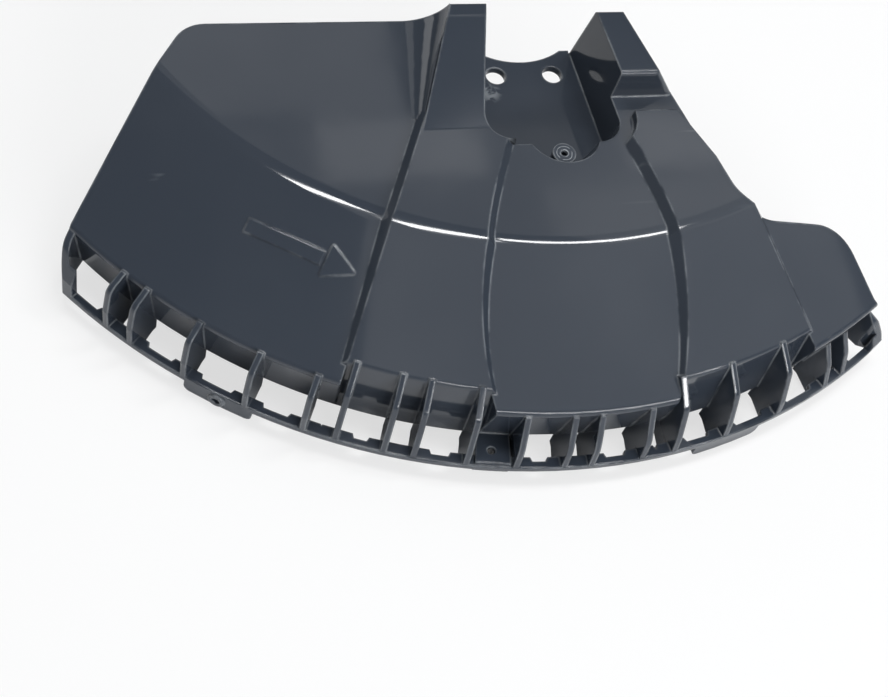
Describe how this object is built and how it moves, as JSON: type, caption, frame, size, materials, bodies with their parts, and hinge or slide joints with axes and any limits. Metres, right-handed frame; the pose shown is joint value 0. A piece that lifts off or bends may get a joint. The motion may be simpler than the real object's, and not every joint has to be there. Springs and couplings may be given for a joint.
{
  "type": "trimmer blade guard",
  "caption": "Fan-shaped plastic guard for a grass trimmer's cutting head, with a bay that bolts to the gear case and a ribbed outer rim.",
  "frame": {"origin": "midway between the two screw holes, on the top face of the bay's floor", "axes": "+Z is the outward normal of the bay's floor, along the drive shaft; the fan spreads towards -Y; +X runs along the line through the two screw holes"},
  "size_m": [0.2982, 0.1606, 0.068],
  "materials": {
    "guard_plastic": "gloss"
  },
  "bodies": {
    "root": {"blade_guard": "guard_plastic"}
  },
  "joints": []
}
